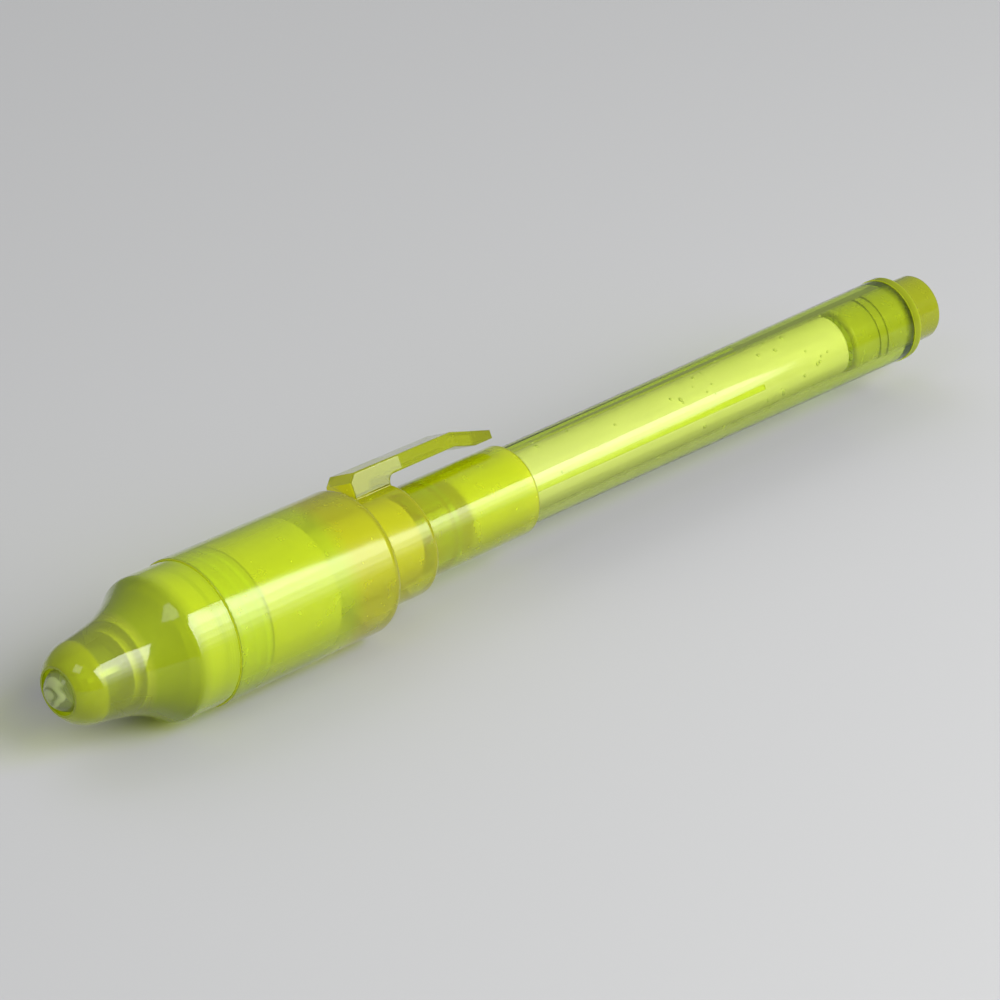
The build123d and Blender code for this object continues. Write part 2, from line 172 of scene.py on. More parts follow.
def ramp(material, factor, *stops):
    """Colours along a factor, as (position, colour) pairs. A lone number stands for a grey."""
    colours = material.node_tree.nodes.new("ShaderNodeValToRGB")
    band = colours.color_ramp
    while len(band.elements) < len(stops):
        band.elements.new(1.0)
    for element, (position, colour) in zip(band.elements, stops):
        element.position = position
        element.color = (*colour, 1) if isinstance(colour, tuple) else (colour, colour, colour, 1)
    join(material, factor, colours.inputs["Fac"])
    return colours.outputs["Color"]


def blended(material, factor, first, second):
    """A colour that goes over from a first one, coming from a node, to a second, fixed one."""
    mix = material.node_tree.nodes.new("ShaderNodeMixRGB")
    mix.inputs["Color2"].default_value = (*second, 1)
    join(material, factor, mix.inputs["Fac"])
    join(material, first, mix.inputs["Color1"])
    return mix.outputs["Color"]


def swell(material, size, depth, stretch=(1, 1, 1), detail=0.0):
    """A height in metres that rises and falls by depth over noise of a size."""
    return between(material, grain(material, size, stretch, detail), 0.0, depth, 0.0, 1.0)


def relief(material, shader, height, coat=False):
    """A height in metres pressed into the shader's surface, and into its coat."""
    bump = material.node_tree.nodes.new("ShaderNodeBump")
    bump.inputs["Distance"].default_value = 1.0
    join(material, height, bump.inputs["Height"])
    join(material, bump.outputs["Normal"], shader.inputs["Normal"])
    if coat:
        join(material, bump.outputs["Normal"], shader.inputs["Coat Normal"])


# %% [markdown]
# The cap, nose, plug and barrel are clear or frosted plastic, and what lies inside them shows
# because light gets in. A path tracer finds a lamp through a bent or frosted wall only by luck, which
# leaves specks. So each clear finish lets shadow rays straight through, tinted by the plastic: the
# inner pieces are then lit as evenly as the outside, and the pen throws a coloured shadow.


# %% Clear plastic that lets lamps through
def output_of(material):
    return next(node for node in material.node_tree.nodes if node.type == "OUTPUT_MATERIAL")


def let_light_in(material, shader, tint):
    """Shadow rays pass the surface in a straight line and take on the tint."""
    nodes = material.node_tree.nodes
    path = nodes.new("ShaderNodeLightPath")
    clear = nodes.new("ShaderNodeBsdfTransparent")
    choice = nodes.new("ShaderNodeMixShader")
    clear.inputs["Color"].default_value = (*tint, 1)
    join(material, path.outputs["Is Shadow Ray"], choice.inputs["Fac"])
    join(material, shader.outputs[0], choice.inputs[1])
    join(material, clear.outputs["BSDF"], choice.inputs[2])
    join(material, choice.outputs["Shader"], output_of(material).inputs["Surface"])


CAP_SHADE, FROST_SHADE = (0.82, 0.88, 0.1), (0.82, 0.88, 0.14)
BORE_SHADE, RESIN_SHADE, NO_SHADE = (0.97, 0.98, 0.6), (0.96, 0.96, 0.96), (1.0, 1.0, 1.0)
scene.cycles.caustics_refractive = False
scene.cycles.caustics_reflective = False
scene.cycles.transparent_max_bounces = 32
scene.cycles.sample_clamp_indirect = 1.0

# %% [markdown]
# The cap is one moulding of frosted yellow plastic under a smooth gloss. Half of the light scatters
# in the wall and gives it body, the rest goes through to what is inside. A low index keeps the wall
# from bending light like glass, and a clear coat gives the crisp reflection of the soft box. The
# tint along the cap is painted greener over the white battery carrier and deeper, nearly amber, over
# the hollow. That is partly the plastic's own colour where it is thick, partly painted light from the
# carrier and painted shade from the dark hollow behind the wall.
# Faces that look along the pen, such as the front of the clip, show the wall end on, with less light
# through it. Their colour is painted brighter, a painted light for faces that the lamps hardly reach.
# The clip is painted darker than the rest of the cap, a painted shade. The clip's flanks widen to a
# bend and lean in again towards the tip, by a few degrees. The mesh is straight there, and the lean
# is in the relief only.

# %% Frosted cap plastic
LIME = (0.56, 0.71, 0.005)
AMBER = (0.62, 0.61, 0.002)
YELLOW = (0.63, 0.69, 0.004)
# Painted light: a brighter colour for the end-on faces, which the lamps hardly reach.
END_ON_PAINTED_LIGHT = (0.93, 0.92, 0.03)
# Painted shade: the clip is coloured darker than the rest of the cap.
CLIP_PAINTED_SHADE = (0.36, 0.4, 0.003)
FROST_INDEX, GLOSS_INDEX = 1.12, 1.5
x_seam, x_rim, x_mouth = -0.1129, -0.0898, -0.0667
soft_edge = 1e-4
clip_foot, x_clip_bend = 0.0064, -0.0812
widen_angle, narrow_angle = math.radians(2.5), math.radians(4.0)
clip_rise = (x_clip_bend - x_rim) * math.tan(widen_angle)
clip_fall = (x_mouth - x_clip_bend) * math.tan(narrow_angle)


def cap_finish():
    material, shader = new_finish("frosted_cap")
    place = along_pen(material, x_seam, x_mouth)
    # Partly painted: greener over the carrier is painted light, amber over the hollow is painted shade.
    tint = ramp(material, place, (0.33, LIME), (0.38, AMBER), (0.62, AMBER), (0.74, YELLOW))
    facing = material.node_tree.nodes.new("ShaderNodeTexCoord").outputs["Normal"]
    along_face = combined(material, "MULTIPLY", *[axis_of(material, facing, "X")] * 2)
    end_on = between(material, along_face, 0.0, 1.0, 0.3, 0.9)
    join(material, between(material, end_on, 0.62, 0.25, 0.0, 1.0), shader.inputs["Transmission Weight"])
    join(material, between(material, grain(material, 0.0015), 0.2, 0.28), shader.inputs["Roughness"])
    ripple = swell(material, 0.007, 0.00002, (2, 1, 1))
    widen = between(material, along_pen(material, x_rim, x_clip_bend), 0.0, clip_rise, 0, 1)
    narrow = between(material, along_pen(material, x_clip_bend, x_mouth), 0.0, -clip_fall, 0, 1)
    height = axis_of(material, own_place(material), "Z")
    above = between(material, height, 0, 1, clip_foot, clip_foot + soft_edge)
    on_clip = combined(material, "MULTIPLY", above, along_pen(material, x_rim, x_rim + 5 * soft_edge))
    lean = combined(material, "MULTIPLY", combined(material, "ADD", widen, narrow), on_clip)
    # Painted shade on the clip, and painted light on the end-on faces.
    colour = blended(material, end_on, blended(material, on_clip, tint, CLIP_PAINTED_SHADE), END_ON_PAINTED_LIGHT)
    join(material, colour, shader.inputs["Base Color"])
    relief(material, shader, combined(material, "ADD", ripple, lean), coat=True)
    set_sockets(shader, IOR=FROST_INDEX, Coat_Weight=1.0, Coat_IOR=GLOSS_INDEX, Coat_Roughness=0.08)
    let_light_in(material, shader, CAP_SHADE)
    return material


# %% [markdown]
# The walls have two skins. Light that has crossed the frosted outer skin only softens a little as
# it leaves the wall again, so the faces that look into the hollow get a finish of their own that lets
# all of it through. Without this, both skins would scatter and the wall would look like chalk.


# %% Inner skin of the frosted pieces
def bore_finish(name, low, high):
    material, shader = new_finish(name)
    clouds = grain(material, 0.004)
    join(material, ramp(material, clouds, (0.3, low), (0.7, high)), shader.inputs["Base Color"])
    join(material, between(material, grain(material, 0.0012), 0.12, 0.2), shader.inputs["Roughness"])
    relief(material, shader, swell(material, 0.002, 0.000005, detail=2.0))
    set_sockets(shader, Transmission_Weight=1.0, IOR=1.0)
    let_light_in(material, shader, BORE_SHADE)
    return material


# %% [markdown]
# The nose screws out of the shell. Its dome and flare are frosted like the cap, but the neck between
# them is nearly clear, so that the lamp shows through it. One finish does both: a ramp along the pen
# turns the frost down over the neck. The band beside the seam keeps faint rings from the mould. The
# spigot is painted paler, a painted light that lifts the shade of the double wall it makes with the
# shell.

# %% Nose plastic
x_hole, x_dome, x_face, x_shoulder = -0.1308, -0.1279, -0.1226, -0.1182
ring_pitch, ring_depth = 0.00035, 0.000003
# Painted light: the spigot is paler, to lift the shade of the double wall at the seam.
DOME, NECK, SPIGOT_PAINTED_LIGHT = (0.47, 0.55, 0.004), (0.46, 0.55, 0.03), (0.84, 0.92, 0.25)
FLARE, FLARE_REAR, BAND = (0.3, 0.39, 0.004), (0.34, 0.44, 0.004), (0.48, 0.61, 0.005)


def nose_finish():
    material, shader = new_finish("frosted_nose")
    span = x_seam - x_hole
    dome, face, shoulder = [(x - x_hole) / span for x in (x_dome, x_face, x_shoulder)]
    place = along_pen(material, x_hole, x_seam)
    steps = (dome - 0.01, dome + 0.01, face - 0.02, face + 0.02, shoulder, shoulder + 0.08)
    tint = ramp(material, place, *zip(steps, (DOME, NECK, NECK, FLARE, FLARE_REAR, BAND)))
    on_spigot = along_pen(material, x_seam, x_seam + soft_edge)
    join(material, blended(material, on_spigot, tint, SPIGOT_PAINTED_LIGHT), shader.inputs["Base Color"])
    clear = ramp(material, place, *zip(steps, (0.4, 0.62, 0.62, 0.32)))
    join(material, clear, shader.inputs["Transmission Weight"])
    frost = ramp(material, place, *zip(steps, (0.2, 0.07, 0.07, 0.2)))
    speckle = between(material, grain(material, 0.0015), 0.9, 1.2)
    join(material, combined(material, "MULTIPLY", frost, speckle), shader.inputs["Roughness"])
    ripple = swell(material, 0.007, 0.00002, (2, 1, 1))
    on_band = between(material, along_pen(material, x_shoulder, x_seam), 0.0, ring_depth, 0.1, 0.6)
    rings = combined(material, "MULTIPLY", turned_rings(material, ring_pitch), on_band)
    relief(material, shader, combined(material, "ADD", ripple, rings), coat=True)
    set_sockets(shader, IOR=FROST_INDEX, Coat_Weight=1.0, Coat_IOR=GLOSS_INDEX, Coat_Roughness=0.06)
    let_light_in(material, shader, FROST_SHADE)
    return material


# %% [markdown]
# The plug that closes the tail is the same soft plastic, with less frost in the tube and a solid,
# deeper stub behind it.

# %% Tail plug
x_plug, x_tail = -0.015, 0.0
PLUG, STUB = (0.66, 0.69, 0.02), (0.35, 0.39, 0.002)


def plug_finish():
    material, shader = new_finish("tail_plug")
    place = along_pen(material, x_plug, x_tail)
    tint = ramp(material, place, (0.66, PLUG), (0.74, STUB))
    join(material, tint, shader.inputs["Base Color"])
    join(material, ramp(material, place, (0.66, 0.45), (0.74, 0.3)), shader.inputs["Transmission Weight"])
    join(material, between(material, grain(material, 0.0012), 0.2, 0.3), shader.inputs["Roughness"])
    relief(material, shader, swell(material, 0.005, 0.000015), coat=True)
    set_sockets(shader, IOR=FROST_INDEX, Coat_Weight=1.0, Coat_IOR=GLOSS_INDEX, Coat_Roughness=0.1)
    let_light_in(material, shader, FROST_SHADE)
    return material


# %% [markdown]
# The barrel is truly clear, so it bends light as polystyrene does, and its colour comes from dye in
# the wall: a volume that swallows blue and a little red, more where the light runs further through
# the plastic. That alone darkens its edges and the ribs inside, as in a real dyed tube.

# %% Clear barrel
BARREL_INDEX = 1.45
DYE, dye_density = (0.86, 0.955, 0.0), 720.0


def barrel_finish():
    material, shader = new_finish("clear_barrel")
    clouds = grain(material, 0.005)
    pale = ramp(material, clouds, (0.3, (0.98, 0.99, 0.94)), (0.7, (1.0, 1.0, 0.98)))
    join(material, pale, shader.inputs["Base Color"])
    join(material, between(material, grain(material, 0.0015), 0.03, 0.06), shader.inputs["Roughness"])
    relief(material, shader, swell(material, 0.008, 0.000015, (3, 1, 1)))
    set_sockets(shader, Transmission_Weight=1.0, IOR=BARREL_INDEX)
    let_light_in(material, shader, NO_SHADE)
    dye = material.node_tree.nodes.new("ShaderNodeVolumeAbsorption")
    set_sockets(dye, Color=(*DYE, 1), Density=dye_density)
    join(material, dye.outputs["Volume"], output_of(material).inputs["Volume"])
    return material


# %% [markdown]
# Light that runs along the barrel's wall comes out at the lip on its tail and makes it glow: a soft
# yellow on the lip and a brighter line along the cut end. So the lip is frosted, not clear, and half
# of it is translucent, which lets a lamp behind a face light its other side. The bright line on the
# cut end is a painted glow: the cut end is coloured brighter than the lip.

# %% Lip of the barrel
# Painted glow: the cut end is coloured brighter than the lip, for light piped along the wall.
LIP, CUT_END_PAINTED_GLOW = (0.5, 0.57, 0.02), (0.8, 0.9, 0.05)
x_lip, x_cut = -0.00583, -0.0049


def edge_finish():
    material, shader = new_finish("barrel_edge")
    clouds = grain(material, 0.002)
    tone = ramp(material, clouds, (0.3, LIP), (0.7, tuple(1.1 * c for c in LIP)))
    on_cut = along_pen(material, x_cut - soft_edge, x_cut + soft_edge)
    join(material, blended(material, on_cut, tone, CUT_END_PAINTED_GLOW), shader.inputs["Base Color"])
    join(material, between(material, grain(material, 0.001), 0.1, 0.2), shader.inputs["Roughness"])
    relief(material, shader, between(material, clouds, 0.0, 0.000005, 0.0, 1.0))
    set_sockets(shader, Transmission_Weight=0.4, IOR=FROST_INDEX, Coat_Weight=1.0, Coat_IOR=GLOSS_INDEX)
    glow = material.node_tree.nodes.new("ShaderNodeBsdfTranslucent")
    glow.inputs["Color"].default_value = (*CUT_END_PAINTED_GLOW, 1)
    both = material.node_tree.nodes.new("ShaderNodeMixShader")
    both.inputs["Fac"].default_value = 0.5
    join(material, shader.outputs["BSDF"], both.inputs[1])
    join(material, glow.outputs["BSDF"], both.inputs[2])
    let_light_in(material, both, NO_SHADE)
    return material


# %% [markdown]
# The lamp's body is clear epoxy. Its round end magnifies what is inside: the chip as a bright spot
# and the rim of its cup as a lit ring. We paint both instead of tracing them, as a painted highlight
# and a painted reflection: the finish is hazier there, by the distance from the pen's axis, and a
# wide noise makes the ring uneven.

# %% Lamp epoxy
lens_radius = 0.00245
# Painted highlight and reflection: less clear, so lighter, at the chip's spot and the cup's ring.
clear_by_share = ((0.0, 0.5), (0.12, 0.8), (0.18, 0.8), (0.28, 0.5), (0.36, 0.5), (0.48, 0.84))


def lamp_finish():
    material, shader = new_finish("lamp_epoxy")
    tone = ramp(material, grain(material, 0.002), (0.3, (0.84, 1.0, 0.38)), (0.7, (0.9, 1.0, 0.48)))
    join(material, tone, shader.inputs["Base Color"])
    join(material, between(material, grain(material, 0.001), 0.01, 0.04), shader.inputs["Roughness"])
    off_axis = [axis_of(material, own_place(material), axis) for axis in ("Y", "Z")]
    squares = [combined(material, "MULTIPLY", distance, distance) for distance in off_axis]
    share = between(material, combined(material, "ADD", *squares), 0.0, 1.0, 0.0, lens_radius**2)
    wobble = between(material, grain(material, 0.0014, detail=0.0), -0.14, 0.14)
    uneven = combined(material, "ADD", share, wobble)
    join(material, ramp(material, uneven, *clear_by_share), shader.inputs["Transmission Weight"])
    relief(material, shader, swell(material, 0.002, 0.000004))
    set_sockets(shader, IOR=GLOSS_INDEX)
    let_light_in(material, shader, RESIN_SHADE)
    return material


# %% [markdown]
# Clear resin with a breath of haze makes the drops of ink inside the barrel. The same finish, less
# hazy, goes on the barrel's inner ribs, whose edges catch the light. The core's wrap is a clear
# film, so thin that it bends nothing: a low alpha leaves only its sheen.


# %% Clear resin, ink and film
def resin_finish(name, low, high, index, haze):
    material, shader = new_finish(name)
    tone = ramp(material, grain(material, 0.002), (0.3, low), (0.7, high))
    join(material, tone, shader.inputs["Base Color"])
    join(material, between(material, grain(material, 0.001), 0.01, 0.04), shader.inputs["Roughness"])
    relief(material, shader, swell(material, 0.002, 0.000004))
    set_sockets(shader, Transmission_Weight=1.0 - haze, IOR=index)
    let_light_in(material, shader, RESIN_SHADE)
    return material


def film_finish():
    material, shader = new_finish("reservoir_film")
    clouds = grain(material, 0.003)
    pale = ramp(material, clouds, (0.3, (0.9, 0.92, 0.85)), (0.7, (0.95, 0.96, 0.92)))
    join(material, pale, shader.inputs["Base Color"])
    join(material, between(material, grain(material, 0.002), 0.1, 0.2), shader.inputs["Roughness"])
    relief(material, shader, swell(material, 0.004, 0.00002, (3, 1, 1), detail=2.0))
    set_sockets(shader, Alpha=0.1)
    return material


# %% [markdown]
# The pieces inside are opaque: white plastic, fibre, and small metal parts. They share one recipe.
# Two tones wander into each other over a grain of the right size, the same grain makes the shine
# uneven, and it is pressed in as relief: lengthwise for fibre, fine and round for sheet metal.


# %% Opaque finishes
def opaque_finish(name, low, high, roughness, metallic=0.0, size=0.002, stretch=(1, 1, 1), depth=0.00001):
    material, shader = new_finish(name)
    clouds = grain(material, size, stretch)
    join(material, ramp(material, clouds, (0.3, low), (0.7, high)), shader.inputs["Base Color"])
    shine = grain(material, size / 2, stretch)
    join(material, between(material, shine, roughness, roughness + 0.1), shader.inputs["Roughness"])
    relief(material, shader, between(material, clouds, 0.0, depth, 0.0, 1.0))
    set_sockets(shader, Metallic=metallic)
    return material


fibre = dict(size=0.0003, stretch=(12, 1, 1))
steel = dict(metallic=1.0, size=0.0005, depth=0.000004)
silver = dict(metallic=0.2, size=0.0005, depth=0.000004)
finishes = {
    "cap_plastic": cap_finish(),
    "nose_plastic": nose_finish(),
    "clear_barrel": barrel_finish(),
    "plug_plastic": plug_finish(),
    "lamp_epoxy": lamp_finish(),
    "film": film_finish(),
    "reservoir_fibre": opaque_finish("reservoir_fibre", (0.93, 0.95, 0.68), (0.96, 0.97, 0.76), 0.5, **fibre),
    "nib_fibre": opaque_finish("nib_fibre", (0.8, 0.78, 0.7), (0.86, 0.84, 0.77), 0.8, **fibre),
    "white_plastic": opaque_finish("white_plastic", (0.84, 0.84, 0.8), (0.88, 0.88, 0.84), 0.35),
    "soft_plastic": opaque_finish("soft_plastic", (0.75, 0.76, 0.74), (0.8, 0.81, 0.79), 0.5),
    "button_plastic": opaque_finish("button_plastic", (0.6, 0.61, 0.006), (0.65, 0.66, 0.012), 0.25),
    "lead_metal": opaque_finish("lead_metal", (0.92, 0.92, 0.91), (0.97, 0.97, 0.96), 0.35, **silver),
    "strip_metal": opaque_finish("strip_metal", (0.72, 0.69, 0.63), (0.8, 0.77, 0.71), 0.3, **steel),
    "cell_steel": opaque_finish("cell_steel", (0.66, 0.66, 0.66), (0.74, 0.74, 0.74), 0.22, **steel),
    "die": opaque_finish("lamp_die", (0.25, 0.2, 0.45), (0.4, 0.35, 0.6), 0.3, size=0.0001),
    "gasket_plastic": opaque_finish("gasket_plastic", (0.25, 0.3, 0.22), (0.3, 0.36, 0.27), 0.5, size=0.0005),
}
print("finishes:", ", ".join(sorted(finishes)))

# %% [markdown]
# Each solid says in its record which finish it takes. The hollow pieces then get their second finish
# on the faces inside them. The cap's rims stay out of it, because they are seen from outside when the
# nose or the pen is out. In the barrel, the four ribs on its inner wall get one, and so does its lip.

# %% Give each solid its finish
for part in frame["record"]["subparts"]:
    solid = solids[part["node"]]
    solid.data.materials.clear()
    solid.data.materials.append(finishes[part["material_slot"]])


# %% Line the bores
def line_bore(node, finish, inside):
    """Give a second finish to the faces that a test of place, radius and facing picks."""
    mesh = solids[node].data
    mesh.materials.append(finish)
    inner = [f for f in mesh.polygons if inside(f.center.x, f.center.yz.length, inwards(f))]
    for face in inner:
        face.material_index = len(mesh.materials) - 1
    print(node, len(inner), "of", len(mesh.polygons), "faces take", finish.name)


def inwards(face):
    """How squarely a face looks towards the pen's axis, from -1 for outwards to 1."""
    away = Vector((0, face.center.y, face.center.z))
    return -face.normal.dot(away.normalized()) if away.length else 0.0


def outer_radius(node):
    """The radius of a turned piece as a function of the place along the pen."""
    widest = {}
    for corner in solids[node].data.vertices:
        place = round(corner.co.x, 4)
        widest[place] = max(widest.get(place, 0.0), math.hypot(corner.co.y, corner.co.z))
    places = sorted(widest)

    def radius(x):
        low = max((p for p in places if p <= x), default=places[0])
        high = min((p for p in places if p >= x), default=places[-1])
        share = 0.0 if high == low else (x - low) / (high - low)
        return widest[low] + (widest[high] - widest[low]) * share

    return radius


nose_radius = outer_radius("nose_cone")
x_bulkhead, shell_skin, sleeve_skin, rim_room = -0.0911, 0.0076, 0.00495, 0.00001
plug_bore, x_plug_floor = 0.0032, -0.0005
rib_inner, rib_outer, x_rib_root, x_rib_end = 0.0034, 0.00373, -0.066, -0.0295
looks_in, looks_straight_in = 0.1, 0.9
straw, pale_straw = (0.92, 0.96, 0.4), (0.95, 0.98, 0.5)
nose_bore = bore_finish("nose_bore", straw, pale_straw)
rib_finish = resin_finish("barrel_ribs", (0.84, 0.9, 0.12), (0.9, 0.95, 0.2), FROST_INDEX, 0.12)
line_bore(
    "cap_body",
    bore_finish("cap_bore", straw, pale_straw),
    lambda x, r, facing: x_seam + rim_room < x < x_mouth - rim_room
    and r < (shell_skin if x < x_bulkhead else sleeve_skin),
)
line_bore("nose_cone", nose_bore, lambda x, r, facing: facing > looks_in)
line_bore(
    "tail_plug",
    bore_finish("plug_bore", straw, pale_straw),
    lambda x, r, facing: r < plug_bore and x < x_plug_floor,
)
line_bore(
    "barrel",
    rib_finish,
    lambda x, r, facing: x_rib_root < x < x_rib_end and rib_inner < r < rib_outer,
)
line_bore("barrel", edge_finish(), lambda x, r, facing: x > x_lip and facing < looks_straight_in)


# %% [markdown]
# The spigot of the nose carries a coarse screw thread, which shows when the nose is unscrewed to
# change the cells. The solids leave it plain. We sweep a low rounded ridge along a helix and let it
# fade in and out at its ends, as a moulded thread does. It is right-handed with the pitch that ties
# the nose's turn to its travel.


# %% Build a mesh piece
def new_piece(name, build, finish, body):
    """A piece from a bmesh that build fills, shaded smooth, riding on a body."""
    mesh = bpy.data.meshes.new(name)
    work = bmesh.new()
    build(work)
    bmesh.ops.recalc_face_normals(work, faces=work.faces)
    for face in work.faces:
        face.smooth = True
    work.to_mesh(mesh)
    work.free()
    piece = bpy.data.objects.new(name, mesh)
    scene.collection.objects.link(piece)
    mesh.materials.append(finish)
    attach(piece, body)
    print(name, "has", len(mesh.polygons), "faces and rides on", body)
    return piece


def on_round(x, radius, angle):
    """A point at a radius about the pen's axis, its angle running from +Z towards -Y."""
    return Vector((x, -radius * math.sin(angle), radius * math.cos(angle)))


# %% Screw thread of the nose
thread_pitch = 0.0015
thread_turns, steps_a_turn = 2.4, 72
thread_start = x_seam + 0.0006
spigot_radius, thread_rise, thread_sink = 0.00708, 0.00007, 0.00003
ridge_half = 0.00038


def screw_thread(work):
    count = int(thread_turns * steps_a_turn)
    rows = []
    for step in range(count + 1):
        turn = step / steps_a_turn
        fade = min(1.0, 6 * turn, 6 * (thread_turns - turn))
        x = thread_start + ridge_half + turn * thread_pitch
        row = []
        for share in (-1.0, -0.55, 0.0, 0.55, 1.0):
            crown = math.cos(share * math.pi / 2) ** 0.6 * thread_rise * fade
            radius = spigot_radius + crown - (thread_sink if abs(share) == 1.0 else 0.0)
            row.append(work.verts.new(on_round(x + share * ridge_half, radius, math.tau * turn)))
        rows.append(row)
    for row, after in zip(rows, rows[1:]):
        for i in range(len(row)):
            j = (i + 1) % len(row)
            work.faces.new((row[i], row[j], after[j], after[i]))
    work.faces.new(rows[0])
    work.faces.new(rows[-1])


new_piece("nose_thread", screw_thread, finishes["nose_plastic"], "nose")

# %% [markdown]
# The edge of the shell at the seam is not sharp: it rolls over by a fraction of a millimetre, which
# is what shows the seam as a thin line of light. The lip is a quarter circle turned about the axis.

# %% Rolled lip at the seam
band_radius, shell_edge, lip_gap = 0.0080, 0.0082, 0.00001


def round_strip(work, profile, around=128):
    """Faces between rings of corners, one ring for each (place, radius) of a closed profile."""
    rings = [
        [work.verts.new(on_round(x, radius, math.tau * i / around)) for i in range(around)]
        for x, radius in profile
    ]
    for ring, after in zip(rings, rings[1:] + rings[:1]):
        for i in range(around):
            j = (i + 1) % around
            work.faces.new((ring[i], ring[j], after[j], after[i]))


def seam_lip(work):
    low = band_radius + lip_gap
    rise = shell_edge - low
    turns = [math.pi / 2 * step / 6 for step in range(7)]
    back = x_seam - lip_gap / 10
    curve = [(back - rise * math.sin(turn), low + rise * math.cos(turn)) for turn in turns]
    round_strip(work, curve + [(back, low)])


new_piece("seam_lip", seam_lip, finishes["cap_plastic"], "cap")

# %% [markdown]
# Inside the nose, where the clear neck ends, a small moulded bead runs round the wall in front of
# the lamp carrier. Through the plastic it reads as a thin bright ring. It is a circle turned about the
# pen's axis, sunk by half into the wall.

# %% Bead inside the nose
nose_wall = 0.0008
bead_size = 0.00016
bead_place = x_face - 0.0002
bead_finish = opaque_finish("neck_bead", (0.72, 0.78, 0.02), (0.78, 0.84, 0.04), 0.2)


def neck_bead(work):
    centre_radius = nose_radius(bead_place) - nose_wall
    turns = [math.tau * step / 10 for step in range(10)]
    round_strip(
        work,
        [(bead_place + bead_size * math.sin(t), centre_radius + bead_size * math.cos(t)) for t in turns],
    )


new_piece("neck_bead", neck_bead, bead_finish, "nose")

# %% [markdown]
# The switch strip is sprung: its raised leaf gives way under the key. A solid can't bend, so two
# pieces stand for it, cut where the leaf begins to rise. Both keep the strip's shape here, and the
# leaf gets a mesh of its own.

# %% Sprung switch strip
strip_seat, leaf_reach = 0.00465, 0.0034
key_low, key_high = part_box("push_button")
x_leaf = (key_low.x + key_high.x) / 2 + leaf_reach


def strip_side(front):
    """A function that fills a bmesh with the strip's part in front of the cut or behind it."""

    def build(work):
        work.from_mesh(solids["contact_strip"].data)
        bmesh.ops.remove_doubles(work, verts=work.verts, dist=1e-7)
        everything = work.verts[:] + work.edges[:] + work.faces[:]
        cut = bmesh.ops.bisect_plane(
            work,
            geom=everything,
            plane_co=(x_leaf, 0, 0),
            plane_no=(1, 0, 0),
            clear_outer=front,
            clear_inner=not front,
        )
        rim = [part for part in cut["geom_cut"] if isinstance(part, bmesh.types.BMEdge)]
        bmesh.ops.contextual_create(work, geom=rim)

    return build


def strip_piece(name, front):
    piece = new_piece(name, strip_side(front), finishes["strip_metal"], "light_unit")
    piece.data.shade_flat()
    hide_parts("contact_strip")
    return piece


strip_leaf = strip_piece("strip_leaf", front=True)
strip_piece("strip_rear", front=False)
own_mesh(strip_leaf)

# %% [markdown]
# A hair of gold joins the lamp's chip to its second post. It leaves the chip, arches forward and
# comes down on the post. A curve with a round bevel is the natural tool for wire: a handle at each
# end gives the arch, and Blender wraps a closed tube round it.

# %% Bond wire of the lamp
wire_radius = 0.00002
arch = Vector((-0.0004, 0, 0))
die_low, die_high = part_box("led_die")
chip = Vector((die_low.x, (die_low.y + die_high.y) / 2, (die_low.z + die_high.z) / 2))
anode_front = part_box("led_anode")[0].x
front_corners = [v.co for v in solids["led_anode"].data.vertices if v.co.x < anode_front + 1e-5]
post = sum(front_corners, Vector()) / len(front_corners)
wire_shape = bpy.data.curves.new("bond_wire", "CURVE")
wire_shape.dimensions = "3D"
wire_shape.bevel_depth = wire_radius
wire_shape.bevel_resolution = 3
wire_shape.use_fill_caps = True
wire_line = wire_shape.splines.new("BEZIER")
wire_line.bezier_points.add(1)
for point, end in zip(wire_line.bezier_points, (chip, post)):
    point.co = end
    point.handle_left = end + arch
    point.handle_right = end + arch
bond_wire = bpy.data.objects.new("bond_wire", wire_shape)
scene.collection.objects.link(bond_wire)
wire_shape.materials.append(opaque_finish("gold_wire", (0.9, 0.68, 0.3), (0.95, 0.75, 0.4), 0.2, **steel))
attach(bond_wire, "light_unit")
print("bond wire spans", round((chip - post).length * 1000, 2), "mm")

# %% [markdown]
# Ink that has crept past the core sits as small drops on the barrel's inner wall, most of them near
# the tail. Each is a flat dome that stands inwards from the wall, in the thin gap round the core. The
# drops differ in size and place, so a random generator with a fixed seed throws them, and any that
# would land on a rib is left out.

# %% Drops of ink
bore_radius = 0.00375
drop_gap, drop_rise, full_drop = 0.000008, 0.0001, 0.0003
drop_count, drop_corners = 110, 10
drop_sizes = (0.00010, 0.00028)
tail_zone, front_zone = (-0.030, -0.0168), (-0.064, -0.030)
rib_angles = [math.radians(a) for a in (-17, 73, 163, 253)]
rib_room = math.radians(8)
throw = random.Random(11)


def clear_of_ribs(x, angle):
    gaps = [abs((angle - rib + math.pi) % math.tau - math.pi) for rib in rib_angles]
    return x > x_rib_end or min(gaps) > rib_room


def drop_of_ink(work, x, angle, size):
    """One dome on the inner wall: rings of corners that rise inwards from the wall to a tip."""
    rings = []
    for share in (1.0, 0.85, 0.5):
        radius = bore_radius - drop_gap - drop_rise * (1 - share**2) * size / full_drop
        ring = []
        for i in range(drop_corners):
            way = math.tau * i / drop_corners
            across = share * size * math.sin(way) / bore_radius
            corner = on_round(x + share * size * math.cos(way), radius, angle + across)
            ring.append(work.verts.new(corner))
        rings.append(ring)
    tip = work.verts.new(on_round(x, bore_radius - drop_gap - drop_rise * size / full_drop, angle))
    for low, high in zip(rings, rings[1:]):
        for i in range(drop_corners):
            j = (i + 1) % drop_corners
            work.faces.new((low[i], low[j], high[j], high[i]))
    for i in range(drop_corners):
        work.faces.new((rings[-1][i], rings[-1][(i + 1) % drop_corners], tip))
    work.faces.new(rings[0])


